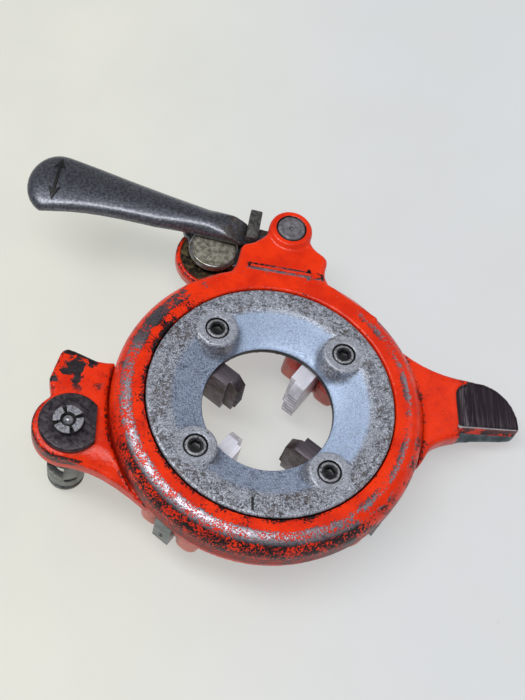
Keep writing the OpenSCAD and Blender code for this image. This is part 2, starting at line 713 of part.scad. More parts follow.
// Coil spring that holds the ball up
module post_spring() {
    wire_r = 0.35;
    coil_r = 1.7;
    turns = 4;
    steps = 48;
    sides = 8;
    z0 = spigot_top - pocket_depth + wire_r + 0.05;
    z1 = ball_z - sqrt(pow(ball_r + wire_r, 2) - pow(coil_r, 2)) - 0.05;
    points = [for (i = [0:steps]) for (k = [0:sides - 1])
        let (a = 360 * turns * i / steps, b = 360 * k / sides, r = coil_r + wire_r * cos(b))
        [r * cos(a), r * sin(a), z0 + (z1 - z0) * i / steps + wire_r * sin(b)]];
    walls = [for (i = [0:steps - 1]) for (k = [0:sides - 1])
        let (m = (k + 1) % sides, p = i * sides, q = p + sides) each
        [[p + k, q + m, p + m], [p + k, q + k, q + m]]];
    color([0.55, 0.55, 0.57]) translate([post[0], post[1], 0]) polyhedron(points, concat(walls,
        [[for (k = [0:sides - 1]) k]], [[for (k = [0:sides - 1]) steps * sides + sides - 1 - k]]), 6);
}

head_casting();
cover_plate();
cover_screws();
cam_ring();
lever_pin();
pin_clip();
throw_out_lever();
lever_bush();
lever_stop_bar();
cam_stud();
stud_washer();
cover_dowels();
die(0);  // die_1
die(1);  // die_2
die(2);  // die_3
die(3);  // die_4
carriage_post();
post_washer();
post_nut();
post_ball();
post_spring();
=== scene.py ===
"""Looks of the quick-opening pipe-threading die head: red castings, iron plate, black lever, steel dies."""
import math

import bmesh
import bpy
import numpy as np
from mathutils import Matrix, Vector


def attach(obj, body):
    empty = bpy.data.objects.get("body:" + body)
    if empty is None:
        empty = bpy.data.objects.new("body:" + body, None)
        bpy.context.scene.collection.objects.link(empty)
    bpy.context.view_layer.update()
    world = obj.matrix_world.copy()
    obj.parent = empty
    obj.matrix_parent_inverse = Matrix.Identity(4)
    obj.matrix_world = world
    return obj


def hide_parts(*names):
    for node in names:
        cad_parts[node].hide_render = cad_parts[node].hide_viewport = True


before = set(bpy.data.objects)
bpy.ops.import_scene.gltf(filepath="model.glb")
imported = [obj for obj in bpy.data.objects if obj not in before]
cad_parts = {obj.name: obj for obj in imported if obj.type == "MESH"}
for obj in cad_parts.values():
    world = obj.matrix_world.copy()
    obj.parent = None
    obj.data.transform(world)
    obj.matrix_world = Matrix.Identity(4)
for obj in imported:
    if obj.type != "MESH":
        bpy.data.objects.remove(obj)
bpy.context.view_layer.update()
MM = 0.001

# Places on the part, in millimetres and degrees, seen along the pipe axis
PIN = (9.157, 87.12)
STUD = (-24.6, 84.7)
POST = (-84.8, -13.0)
LEVER_ANGLE = 168.3
SCREW_CIRCLE, SCREW_ANGLE = 40.2, 36.9
DIE_ANGLE, DIE_OUTER_END, DIE_OFFSET, DIE_NUMBER_Z = 52.8, 67.9, 2.1, -17.5
NOSE_RADIUS, NOSE_Z = 59.4, 4.5
ARROW_START, ARROW_END = (-9.6, 66.4), (23.2, 63.1)
ARROW_WIDTH, ARROW_HEAD = 1.2, 5.6
LEVER_ARROW_START, LEVER_ARROW_END = (-98.4, 120.4), (-101.1, 100.6)
LEVER_ARROW_WIDTH, LEVER_ARROW_HEAD = 1.4, 5.4
PLATE_NUMBER = (-8.4, -48.6, 13.5)


def srgb(r, g, b):
    """A colour as it looks on a screen, 0 to 255, as linear light."""
    def lin(c):
        c /= 255
        return c / 12.92 if c <= 0.04045 else ((c + 0.055) / 1.055) ** 2.4
    return (lin(r), lin(g), lin(b), 1.0)


class Net:
    """Adds shader nodes to a tree and links them."""

    def __init__(self, tree):
        self.tree = tree

    def put(self, socket, value):
        if isinstance(value, bpy.types.NodeSocket):
            self.tree.links.new(value, socket)
        else:
            socket.default_value = value

    def add(self, kind, inputs=None, **settings):
        node = self.tree.nodes.new(kind)
        for key, value in settings.items():
            setattr(node, key, value)
        for key, value in (inputs or {}).items():
            self.put(node.inputs[key], value)
        return node

    def math(self, op, a, b=0.0, c=0.0, clamp=False):
        return self.add("ShaderNodeMath", {0: a, 1: b, 2: c}, operation=op, use_clamp=clamp).outputs[0]

    def chain(self, op, values):
        total = values[0]
        for value in values[1:]:
            total = self.math(op, total, value)
        return total

    def plus(self, *values):
        return self.chain("ADD", values)

    def minus(self, *values):
        return self.chain("SUBTRACT", values)

    def times(self, *values):
        return self.chain("MULTIPLY", values)

    def most(self, *values):
        return self.chain("MAXIMUM", values)

    def least(self, *values):
        return self.chain("MINIMUM", values)

    def step(self, value, low, high, start=0.0, end=1.0):
        """Smooth rise from start to end while the value goes from low to high."""
        sockets = {"Value": value, "From Min": low, "From Max": high, "To Min": start, "To Max": end}
        return self.add("ShaderNodeMapRange", sockets, interpolation_type="SMOOTHSTEP").outputs[0]

    def between(self, value, low, full, fade, high):
        """Smooth rise from low to full, and a smooth fall from fade to high."""
        return self.times(self.step(value, low, full), self.step(value, high, fade))

    def mix(self, share, a, b):
        return self.add("ShaderNodeMix", {0: share, 6: a, 7: b}, data_type="RGBA").outputs[2]

    def blend(self, share, a, b):
        return self.add("ShaderNodeMix", {0: share, 2: a, 3: b}, data_type="FLOAT").outputs[0]

    def noise(self, place, size, detail=2.0, rough=0.5, warp=0.0, per_size=1.0):
        """Noise with features of about this size in millimetres, or with so many of them per size."""
        linked = isinstance(size, bpy.types.NodeSocket)
        scale = self.math("DIVIDE", per_size, size) if linked else per_size / size
        sockets = {"Vector": place, "Scale": scale, "Detail": detail, "Roughness": rough, "Distortion": warp}
        return self.add("ShaderNodeTexNoise", sockets).outputs[0]

    def vector(self, op, a, b):
        return self.add("ShaderNodeVectorMath", {0: a, 1: b}, operation=op).outputs[0]

    def joined(self, *parts):
        return self.add("ShaderNodeCombineXYZ", dict(enumerate(parts))).outputs[0]

    def away(self, place, centre):
        """Distance from an upright axis, in the plane of the plate."""
        offset = self.vector("SUBTRACT", place, (*centre, 0.0))
        flat = self.vector("MULTIPLY", offset, (1.0, 1.0, 0.0))
        return self.add("ShaderNodeVectorMath", {0: flat}, operation="LENGTH").outputs["Value"]

    def group(self, name, **inputs):
        node = self.add("ShaderNodeGroup", node_tree=bpy.data.node_groups[name])
        for key, value in inputs.items():
            self.put(node.inputs[key], value)
        return node.outputs

    def sector(self, at, centre, half, soft):
        return self.group("Sector", Angle=at["Angle"], Centre=centre, Half=half, Soft=soft)["Share"]

    def bump(self, height, depth):
        """Normal of a surface whose relief is this height times depth millimetres."""
        sockets = {"Height": height, "Distance": depth * MM, "Strength": 1.0}
        return self.add("ShaderNodeBump", sockets).outputs[0]


KINDS = {"F": "NodeSocketFloat", "V": "NodeSocketVector"}


def effect(name, inputs, outputs):
    """Starts a shared effect. Inputs and outputs are names led by F for a value and V for a vector."""
    tree = bpy.data.node_groups.new(name, "ShaderNodeTree")
    for way, names in (("INPUT", inputs), ("OUTPUT", outputs)):
        for word in names:
            tree.interface.new_socket(name=word[1:], in_out=way, socket_type=KINDS[word[0]])
    net = Net(tree)
    return net, net.add("NodeGroupInput").outputs, net.add("NodeGroupOutput").inputs


def make_place():
    """Place on the part in millimetres, with radius and angle round the pipe axis."""
    net, _, out = effect("Place", [], ["VPlace", "FX", "FY", "FZ", "FRadius", "FAngle"])
    metres = net.add("ShaderNodeTexCoord").outputs["Object"]
    place = net.add("ShaderNodeVectorMath", {0: metres, 3: 1 / MM}, operation="SCALE").outputs[0]
    x, y, z = net.add("ShaderNodeSeparateXYZ", {0: place}).outputs
    radius = net.math("SQRT", net.plus(net.times(x, x), net.times(y, y)))
    angle = net.times(net.math("ARCTAN2", y, x), math.degrees(1))
    for name, value in zip(("Place", "X", "Y", "Z", "Radius", "Angle"), (place, x, y, z, radius, angle)):
        net.put(out[name], value)


def make_sector():
    """Share of a sector round the pipe axis, soft at both ends."""
    net, given, out = effect("Sector", ["FAngle", "FCentre", "FHalf", "FSoft"], ["FShare"])
    turn = net.math("WRAP", net.minus(given["Angle"], given["Centre"]), 180.0, -180.0)
    end = net.plus(given["Half"], given["Soft"])
    net.put(out["Share"], net.step(net.math("ABSOLUTE", turn), end, given["Half"]))


def make_chips():
    """Worn spots where paint is gone: more of them as the amount rises."""
    net, given, out = effect("Chips", ["VPlace", "FAmount", "FSize"], ["FMask", "FRim"])
    fine = net.noise(given["Place"], given["Size"], 4.0, 0.62, 0.3)
    wide = net.noise(given["Place"], given["Size"], 2.0, 0.5, per_size=0.16)
    level = net.plus(net.times(fine, 0.72), net.times(wide, 0.28))
    sockets = {"Value": given["Amount"], "To Min": 0.74, "To Max": 0.32}
    over = net.minus(level, net.add("ShaderNodeMapRange", sockets).outputs[0])
    mask = net.step(over, -0.010, 0.014)
    net.put(out["Mask"], mask)
    net.put(out["Rim"], net.minus(net.step(over, -0.045, -0.010), mask))


def make_cast_grain():
    """Relief of a sand-cast surface under paint."""
    net, given, out = effect("Cast Grain", ["VPlace", "FSize"], ["FHeight"])
    lumps = net.noise(given["Place"], given["Size"], 2.0, 0.55)
    waves = net.noise(given["Place"], given["Size"], 1.0, per_size=0.2)
    net.put(out["Height"], net.plus(lumps, net.times(waves, 1.6)))


def make_scratches():
    """Fine scratches along one direction of the plane of the plate."""
    net, given, out = effect("Scratches", ["VPlace", "FTurn", "FSize"], ["FMask"])
    sockets = {"Vector": given["Place"], "Angle": net.times(given["Turn"], math.radians(1))}
    turned = net.add("ShaderNodeVectorRotate", sockets, rotation_type="Z_AXIS").outputs[0]
    drawn_out = net.vector("MULTIPLY", turned, (0.05, 1.0, 1.0))
    net.put(out["Mask"], net.noise(drawn_out, given["Size"], 3.0, 0.7))


def make_screws():
    """Distance from the nearest cover screw."""
    net, given, out = effect("Screws", ["VPlace"], ["FDistance"])
    angles = [math.radians(SCREW_ANGLE + 90 * k) for k in range(4)]
    centres = [(SCREW_CIRCLE * math.cos(a), SCREW_CIRCLE * math.sin(a)) for a in angles]
    net.put(out["Distance"], net.least(*[net.away(given["Place"], centre) for centre in centres]))


for make in (make_place, make_sector, make_chips, make_cast_grain, make_scratches, make_screws):
    make()


def material(name):
    mat = bpy.data.materials.new(name)
    mat.use_nodes = True
    mat.node_tree.nodes.clear()
    net = Net(mat.node_tree)
    return mat, net, net.group("Place")


def finish_surface(net, **inputs):
    shader = net.add("ShaderNodeBsdfPrincipled")
    for key, value in inputs.items():
        net.put(shader.inputs[key.replace("_", " ")], value)
    net.add("ShaderNodeOutputMaterial", {"Surface": shader.outputs[0]})


def worn_edge(net):
    """How far a place stands out as an edge, kept on the mesh when the casting was softened."""
    return net.add("ShaderNodeAttribute", attribute_name="edge", attribute_type="GEOMETRY").outputs["Fac"]


RED = srgb(230, 50, 4)
RED_DEEP = srgb(206, 36, 4)
RED_SHADED = srgb(148, 24, 14)
RED_DUSTY = srgb(120, 26, 14)
CHIP_RIM = srgb(132, 22, 12)
BARE_DARK = srgb(34, 22, 22)
BARE_GREY = srgb(176, 172, 182)
# Black for painted shade in notches and under the nut's lip
SHADE_BLACK = srgb(22, 21, 22)


def paint_surface(net, at, amount, grey, chip_size, patch=0.0, bare=0.0, bare_colour=BARE_GREY,
                  bare_rough=0.35, matt=0.0, painted_shade=0.0, grain=0.09):
    """Red enamel on cast iron: chipped by the amount, with brighter bare metal where grey is high.

    Patch is bare iron. Bare is a face with a colour of its own, less metallic as matt rises. Painted shade
    darkens the paint towards a shaded red.
    """
    chips = net.group("Chips", Place=at["Place"], Amount=amount, Size=chip_size)
    mask = net.most(chips["Mask"], patch)
    red = net.mix(net.step(net.noise(at["Place"], 14.0, 3.0, 0.6), 0.35, 0.68), RED, RED_DEEP)
    # Painted shade: the red darkens by this share
    red = net.mix(painted_shade, red, RED_SHADED)
    dust = net.step(net.noise(at["Place"], 0.8, 2.0, 0.6), 0.60, 0.70)
    red = net.mix(net.times(dust, 0.4), red, RED_DUSTY)
    red = net.mix(net.times(chips["Rim"], 0.5), red, CHIP_RIM)
    speck = net.step(net.noise(at["Place"], 0.8, 3.0, 0.7), 0.20, 0.56)
    iron = net.mix(net.math("MULTIPLY", grey, speck, clamp=True), BARE_DARK, BARE_GREY)
    colour = net.mix(bare, net.mix(mask, red, iron), bare_colour)
    relief = net.group("Cast Grain", Place=at["Place"], Size=0.62)["Height"]
    relief = net.times(net.minus(relief, net.times(mask, 0.7)), net.minus(1.0, bare))
    rough = net.blend(bare, net.blend(mask, net.blend(painted_shade, 0.25, 0.6), 0.36), bare_rough)
    metal = net.most(net.times(mask, 0.85), net.times(bare, net.minus(1.0, matt), 0.6))
    finish_surface(net, Base_Color=colour, Metallic=metal, Roughness=rough, Normal=net.bump(relief, grain),
                   Specular_IOR_Level=0.32)


def arrow_frame(net, at):
    """Distances along and aside from the arrow on the lug."""
    way = (Vector(ARROW_END) - Vector(ARROW_START)).normalized()
    x, y = net.plus(at["X"], -ARROW_START[0]), net.plus(at["Y"], -ARROW_START[1])
    along = net.plus(net.times(x, way.x), net.times(y, way.y))
    aside = net.plus(net.times(x, -way.y), net.times(y, way.x))
    return along, aside


def ring_paint():
    """The cam ring: worn along its nose, most of all at the front and left where it is handled."""
    mat, net, at = material("ring enamel")
    height, reach = net.plus(at["Z"], -NOSE_Z), net.plus(at["Radius"], -NOSE_RADIUS)
    slope = net.times(net.math("ARCTAN2", height, reach), math.degrees(1))
    # Parts of the round, and bands of the nose
    low = net.sector(at, -110.0, 38.0, 32.0)
    left = net.sector(at, 178.0, 30.0, 24.0)
    high = net.sector(at, 138.0, 14.0, 12.0)
    right = net.sector(at, -8.0, 46.0, 22.0)
    lug = net.step(at["Y"], 60.0, 68.0)
    outer = net.between(slope, -75.0, -40.0, 48.0, 66.0)
    crest = net.between(slope, 46.0, 60.0, 82.0, 96.0)
    line = net.between(slope, 70.0, 80.0, 92.0, 102.0)
    flat = net.step(slope, 78.0, 92.0)
    under = net.step(slope, -70.0, 14.0, 0.45, 1.0)
    cluster = net.step(net.noise(at["Place"], 9.0, 2.0), 0.40, 0.60)
    # How much paint is gone
    flat_wear = net.times(flat, 0.08)
    low_wear = net.times(low, net.plus(net.times(outer, under, 0.37), net.times(crest, 0.38), flat_wear))
    left_wear = net.times(left, net.plus(net.times(crest, 0.36), net.times(outer, 0.16), flat_wear))
    high_wear = net.times(high, net.plus(net.times(crest, 0.30), net.times(flat, 0.24)), cluster)
    right_wear = net.times(right, net.plus(net.times(line, 0.32), net.times(outer, 0.28)),
                           net.plus(0.3, cluster))
    inner_wear = net.times(net.most(low, left), net.step(at["Radius"], 58.0, 55.0), cluster, 0.26)
    edge_wear = net.times(net.step(worn_edge(net), 0.3, 0.9), 0.08)
    amount = net.plus(0.235, net.most(low_wear, left_wear), high_wear, right_wear, inner_wear, edge_wear)
    amount = net.times(amount, net.blend(lug, 1.0, 0.6))
    bright = net.most(crest, net.times(right, line, 0.4))
    grey = net.plus(0.06, net.times(bright, net.blend(high, 0.85, 0.35)))
    # Dirt round the lever pin, and dirt with painted shade along the foot of the arrow on the lug
    pin_dirt = net.step(net.away(at["Place"], PIN), 7.3, 6.9)
    along, aside = arrow_frame(net, at)
    tip = net.times(net.step(along, 25.8, 26.4), net.plus(2.9, net.times(net.plus(along, -26.0), -0.45)))
    past = net.minus(net.math("ABSOLUTE", aside), net.most(1.3, tip))
    ragged = net.step(net.noise(at["Place"], 1.4, 3.0, 0.6), 0.36, 0.44)
    arrow_dirt_and_shade = net.times(net.step(past, 0.7, 0.3), net.between(along, -2.0, -0.8, 33.8, 34.6),
                           net.step(at["Z"], 13.4, 13.2), ragged)
    # Painted shade on the lower wall of the ring, under the nose
    paint_surface(net, at, amount, grey, 0.9, net.most(pin_dirt, arrow_dirt_and_shade),
                  painted_shade=net.step(slope, 16.0, -14.0, 0.0, 0.65))
    return mat


# Black patches on the square block by the post: place and reach
BLOCK_PATCHES = ((-83.7, 14.3, 4.6), (-87.4, 12.4, 2.4), (-83.0, 8.6, 2.3), (-82.6, 4.4, 2.2),
                 (-92.8, 8.2, 1.7), (-73.4, 5.2, 1.5), (-76.8, 17.4, 2.6))


def head_patches(net, at, facing, block):
    """Where the head casting is bare and black: on the square block and round the side of the boss."""
    ragged = net.times(net.plus(net.noise(at["Place"], 2.6, 4.0, 0.7, 0.4), -0.5), 9.0)
    spot = net.least(*[net.plus(net.away(at["Place"], (x, y)), -reach) for x, y, reach in BLOCK_PATCHES])
    rise = net.plus(at["Y"], net.times(net.plus(at["X"], 82.0), 0.30))
    top_edge = net.plus(net.minus(19.0, rise), net.step(at["X"], -76.0, -70.0, 0.0, 9.0))
    blotch = net.step(net.plus(net.least(spot, top_edge), ragged), 0.25, -0.25)
    side = net.times(net.step(at["Z"], -7.5, -5.5), net.between(facing, -0.4, 0.0, 0.75, 0.93),
                     net.step(at["Y"], 1.0, -6.0), net.step(at["X"], -68.0, -80.0))
    boss_rim = net.step(net.plus(side, net.noise(at["Place"], 1.5, 4.0, 0.7)), 1.42, 1.47)
    return net.most(net.times(block, blotch), boss_rim)


def head_paint():
    """The head casting: black patches by the post, milled pad on the tail, guides painted pale as bounce
    light, greasy stud lug.
    """
    mat, net, at = material("head enamel")
    x, y, z = at["X"], at["Y"], at["Z"]
    normal = net.add("ShaderNodeTexCoord").outputs["Normal"]
    facing = net.add("ShaderNodeSeparateXYZ", {0: normal}).outputs[2]
    block = net.times(net.step(x, -69.0, -76.0), net.step(y, 0.0, 7.0))
    # Milled pad of the tail, with a painted highlight along its lower lip
    tip = net.step(x, 84.9, 85.6)
    pad = net.times(tip, net.step(z, 3.5, 3.0), net.step(facing, 0.4, 0.75), net.step(y, -2.6, -1.9))
    streak = net.group("Scratches", Place=at["Place"], Turn=90.0, Size=1.0)["Mask"]
    rubbed = net.plus(0.12, net.times(net.between(x, 86.5, 89.0, 89.0, 97.0), 0.7),
                      net.times(net.step(y, 7.0, -1.5), 0.35))
    shine = net.math("MULTIPLY", net.step(streak, 0.44, 0.66), rubbed, clamp=True)
    # Painted highlight: a bright line along the pad's lower lip
    lip = net.times(tip, net.between(y, -2.9, -2.3, -1.7, -1.2), net.step(z, 1.2, 1.9))
    pad_colour = net.mix(shine, srgb(46, 36, 44), srgb(120, 112, 118))
    pad_colour = net.mix(lip, pad_colour, srgb(206, 206, 210))
    # Bevelled foot of the tail, and the strip of broken paint above it
    foot = net.times(net.step(x, 84.0, 86.5), net.step(z, -3.0, -3.6), net.step(y, -1.0, -2.2),
                     net.step(facing, -0.75, -0.45))
    foot_tone = net.step(net.noise(at["Place"], 4.0, 3.0, 0.6), 0.35, 0.65)
    foot_colour = net.mix(foot_tone, srgb(76, 86, 90), srgb(102, 114, 120))
    strip = net.times(tip, net.step(y, -1.4, -2.0), net.between(z, -3.8, -3.0, 1.6, 2.4),
                      net.step(net.noise(at["Place"], 5.0, 3.0, 0.6), 0.47, 0.52))
    # Paler pink painted on the guide blocks under the flange as bounce light from the table, and brown grease
    # on the lug round the stud
    table_bounce_light = net.step(z, -12.4, -13.2)
    bounce_lit_pink = net.mix(net.noise(at["Place"], 4.0, 3.0), srgb(222, 128, 112), srgb(206, 106, 92))
    grease = net.times(net.step(net.away(at["Place"], STUD), 15.8, 14.8), net.step(y, 60.0, 66.0),
                       net.step(z, -11.2, -10.5))
    grease_tone = net.step(net.noise(at["Place"], 2.4, 4.0, 0.7), 0.44, 0.66)
    brown = net.mix(grease_tone, srgb(26, 24, 22), srgb(98, 86, 58))
    bare_colour = net.mix(foot, pad_colour, foot_colour)
    bare_colour = net.mix(grease, net.mix(table_bounce_light, bare_colour, bounce_lit_pink), brown)
    bare = net.most(pad, lip, foot, table_bounce_light, grease)
    amount = net.plus(0.22, net.times(net.step(worn_edge(net), 0.3, 1.0), 0.26), net.times(block, 0.06))
    patch = net.most(head_patches(net, at, facing, block), strip)
    paint_surface(net, at, amount, 0.10, 1.1, patch, bare, bare_colour, 0.34, net.most(table_bounce_light, grease),
                  grain=0.15)
    return mat


def plate_iron():
    """The cover plate: speckled worn rim and bosses, dish tinted bluish as a painted reflection, painted
    shade round the screws, at the foot of the bosses, on the wall of the pipe hole and in the gap to the
    ring.
    """
    mat, net, at = material("cover plate iron")
    z = at["Z"]
    flecks = net.noise(at["Place"], 0.6, 2.0, 0.6)
    grains = net.noise(at["Place"], 1.6, 4.0, 0.7)
    clouds = net.noise(at["Place"], 8.0, 3.0, 0.6)
    speckle = net.plus(net.times(flecks, 0.5), net.times(grains, 0.5))
    screw = net.group("Screws", Place=at["Place"])["Distance"]
    proud = net.most(net.step(z, 11.6, 13.4), net.times(net.step(screw, 11.0, 9.4), net.step(z, 4.4, 5.6)))
    front = net.sector(at, -142.0, 74.0, 40.0)
    # Rim and bosses
    rim = net.mix(net.step(speckle, 0.40, 0.56), srgb(62, 60, 64), srgb(160, 165, 177))
    rim = net.mix(net.times(net.step(speckle, 0.55, 0.61), 0.8), rim, srgb(224, 229, 241))
    stain = net.times(net.step(clouds, 0.47, 0.66), net.step(grains, 0.60, 0.40), 0.7)
    rim = net.mix(stain, rim, srgb(86, 74, 66))
    boss = net.times(net.step(screw, 9.6, 8.4), net.step(z, 10.2, 11.6))
    smooth = net.most(net.times(boss, 0.42), net.times(net.step(clouds, 0.50, 0.36), 0.3))
    rim = net.mix(smooth, rim, srgb(178, 183, 194))
    # Dish, worn at the front, with painted shade at the foot of the bosses
    # Bluish tones of the dish: grey iron with a painted reflection of a blue sky
    worn = net.mix(net.step(speckle, 0.42, 0.56), srgb(70, 76, 92), srgb(160, 171, 192))
    dish = net.mix(net.step(flecks, 0.34, 0.66), srgb(152, 171, 201), srgb(188, 206, 232))
    wear = net.plus(net.times(front, 0.75), net.times(net.step(clouds, 0.5, 0.7), 0.2))
    dish = net.mix(wear, dish, worn)
    boss_foot_shade = net.times(net.step(screw, 13.0, 10.2), net.step(z, 11.0, 7.5), 0.55)
    dish = net.mix(boss_foot_shade, dish, srgb(52, 56, 66))
    # Pits, and painted shade round the screws, on the wall of the pipe hole and in the gap to the ring
    pits = net.step(grains, 0.58, 0.64)
    dark = net.times(pits, net.plus(0.22, net.times(proud, 0.25), net.times(front, 0.48)))
    colour = net.mix(dark, net.mix(proud, dish, rim), srgb(52, 50, 54))
    # Painted shadow in the counterbore gap round each screw head
    screw_gap_shadow = net.times(net.step(screw, 5.6, 5.1), net.step(z, 10.0, 11.0))
    colour = net.mix(screw_gap_shadow, colour, srgb(24, 22, 22))
    # Painted shade on the wall of the pipe hole
    bore_wall_shade = net.times(net.step(at["Radius"], 29.7, 29.2), net.step(z, 3.3, 2.7))
    colour = net.mix(bore_wall_shade, colour, srgb(46, 40, 38))
    # Painted shade in the gap between the plate and the ring
    ring_gap_shade = net.times(net.step(at["Radius"], 53.2, 53.8), net.step(z, 13.2, 12.6))
    colour = net.mix(ring_gap_shade, colour, srgb(22, 18, 18))
    height = net.minus(flecks, net.times(pits, 0.6))
    finish_surface(net, Base_Color=colour, Metallic=0.25, Roughness=net.blend(proud, 0.46, 0.36),
                   Normal=net.bump(height, 0.09))
    return mat


def screw_black():
    """The cover screws: black oxide with the rim of each head rubbed bright."""
    mat, net, at = material("black oxide")
    clouds = net.noise(at["Place"], 1.0, 3.0, 0.65)
    away = net.group("Screws", Place=at["Place"])["Distance"]
    rim = net.times(net.between(away, 3.2, 3.7, 4.4, 4.75), net.step(at["Z"], 12.2, 12.7))
    colour = net.mix(net.step(clouds, 0.36, 0.64), srgb(30, 30, 32), srgb(58, 58, 62))
    colour = net.mix(net.times(rim, net.step(clouds, 0.30, 0.55)), colour, srgb(166, 168, 174))
    finish_surface(net, Base_Color=colour, Metallic=0.5, Roughness=0.34, Normal=net.bump(clouds, 0.03))
    return mat


def lever_black():
    """The lever: black semi-gloss over a hammered casting, brown where the neck is worn."""
    mat, net, at = material("lever black")
    hammer = net.noise(at["Place"], 1.2, 2.0, 0.5)
    fine = net.noise(at["Place"], 0.7, 2.0, 0.6)
    neck = net.step(net.away(at["Place"], PIN), 36.0, 25.0)
    rub = net.times(neck, net.step(net.noise(at["Place"], 3.0, 3.0, 0.6), 0.40, 0.60))
    shine = net.times(net.step(worn_edge(net), 0.3, 1.0), net.step(fine, 0.5, 0.64))
    colour = net.mix(net.step(hammer, 0.3, 0.7), srgb(76, 78, 85), srgb(112, 116, 126))
    colour = net.mix(net.times(rub, 0.7), colour, srgb(94, 78, 60))
    colour = net.mix(net.times(shine, 0.6), colour, srgb(126, 124, 126))
    height = net.plus(hammer, net.times(fine, 0.4))
    finish_surface(net, Base_Color=colour, Metallic=0.8, Roughness=net.blend(fine, 0.36, 0.48),
                   Normal=net.bump(height, 0.10), Coat_Weight=0.6, Coat_Roughness=0.12)
    return mat


def steel(name, light, dark, rough, size=2.0, metal=0.85, turn=None, lathe=None, grain=0.02,
          shade_above=None, shade_below=None):
    """Bare steel between two tones: scratched one way or turned round a centre, and black as painted shade
    beyond a level.
    """
    mat, net, at = material(name)
    clouds = net.noise(at["Place"], size, 3.0, 0.65)
    if lathe is not None:
        lines = net.noise(net.joined(net.away(at["Place"], lathe), at["Z"]), 0.5, 2.0, 0.6)
    elif turn is not None:
        lines = net.group("Scratches", Place=at["Place"], Turn=turn, Size=0.7)["Mask"]
    else:
        lines = net.noise(at["Place"], 0.6, 2.0, 0.6)
    tone = net.plus(net.times(clouds, 0.6), net.times(lines, 0.4))
    colour = net.mix(net.step(tone, 0.36, 0.64), dark, light)
    for level, way in ((shade_above, 0.3), (shade_below, -0.3)):
        if level is not None:
            colour = net.mix(net.step(at["Z"], level - way, level + way), colour, SHADE_BLACK)
    finish_surface(net, Base_Color=colour, Metallic=metal,
                   Roughness=net.blend(clouds, rough - 0.08, rough + 0.10),
                   Normal=net.bump(net.plus(lines, clouds), grain))
    return mat


def die_steel():
    """The dies: ground along their length, two painted bright as a sheen and two painted darker as shade, all
    stained dark lower down.
    """
    mat, net, at = material("ground die steel")
    drawn_out = net.joined(net.times(at["Angle"], 2.0), net.times(at["Radius"], 0.03),
                           net.times(at["Z"], 0.6))
    lines = net.noise(drawn_out, 1.0, 3.0, 0.7)
    clouds = net.noise(at["Place"], 5.0, 3.0, 0.6)
    # Painted sheen on the two dies along one diagonal; the other two get the darker tone as painted shade
    painted_sheen_dies = net.most(*[net.sector(at, angle, 36.0, 10.0) for angle in (DIE_ANGLE, DIE_ANGLE - 180.0)])
    streak = net.step(lines, 0.35, 0.65)
    shaded_die_tone = net.mix(streak, srgb(92, 84, 92), srgb(124, 114, 122))
    colour = net.mix(painted_sheen_dies, shaded_die_tone, net.mix(streak, srgb(218, 217, 230), srgb(242, 241, 250)))
    stain = net.times(net.step(at["Z"], -0.5, -1.2), net.step(clouds, 0.30, 0.62),
                      net.blend(painted_sheen_dies, 0.8, 0.35))
    colour = net.mix(stain, colour, srgb(62, 52, 44))
    end = net.step(at["Radius"], 62.0, 66.0)
    end_colour = net.mix(net.step(clouds, 0.36, 0.64), srgb(84, 92, 92), srgb(112, 120, 119))
    metal = net.times(net.blend(painted_sheen_dies, 0.7, 0.35), net.minus(1.0, end))
    finish_surface(net, Base_Color=net.mix(end, colour, end_colour), Metallic=metal,
                   Roughness=net.blend(lines, 0.24, 0.36), Normal=net.bump(lines, 0.015))
    return mat


def worn_disc():
    """The stud's flat face: tan dirt in the middle, bright rubbed rim."""
    mat, net, at = material("stud face")
    clouds = net.noise(at["Place"], 2.2, 4.0, 0.7)
    face = net.step(net.away(at["Place"], STUD), 10.4, 9.4)
    colour = net.mix(net.step(clouds, 0.4, 0.62), srgb(150, 150, 152), srgb(112, 108, 90))
    dirt = net.mix(net.step(clouds, 0.36, 0.66), srgb(156, 154, 142), srgb(92, 90, 76))
    finish_surface(net, Base_Color=net.mix(face, colour, dirt), Metallic=net.blend(face, 0.85, 0.4),
                   Roughness=net.blend(face, 0.28, 0.5), Normal=net.bump(clouds, 0.05))
    return mat


def table_top():
    """Pale table, seen only from its upper side."""
    mat, net, at = material("pale table")
    tone = net.noise(at["Place"], 60.0, 3.0, 0.5)
    marks = net.step(net.noise(at["Place"], 5.0, 4.0, 0.7), 0.70, 0.76)
    # Warmer on the left and cooler on the right: a painted tint of the room's light
    colour = net.mix(net.step(at["X"], -110.0, 90.0), srgb(226, 226, 216), srgb(216, 219, 221))
    colour = net.mix(net.step(tone, 0.3, 0.7, 0.0, 0.3), colour, srgb(212, 213, 207))
    colour = net.mix(net.times(marks, 0.12), colour, srgb(170, 165, 140))
    sockets = {"Base Color": colour, "Roughness": 0.42, "Specular IOR Level": 0.3}
    lit = net.add("ShaderNodeBsdfPrincipled", sockets)
    # The camera and mirrors see part of the table's own colour, so that its shadows stay light
    plain = net.add("ShaderNodeEmission", {"Color": colour, "Strength": 0.97})
    path = net.add("ShaderNodeLightPath").outputs
    rays = net.most(path["Is Camera Ray"], path["Is Glossy Ray"], path["Is Transmission Ray"])
    upper = net.add("ShaderNodeMixShader", {0: net.times(rays, 0.62), 1: lit.outputs[0], 2: plain.outputs[0]})
    clear = net.add("ShaderNodeBsdfTransparent")
    under = net.add("ShaderNodeNewGeometry").outputs["Backfacing"]
    both = net.add("ShaderNodeMixShader", {0: under, 1: upper.outputs[0], 2: clear.outputs[0]})
    net.add("ShaderNodeOutputMaterial", {"Surface": both.outputs[0]})
    return mat


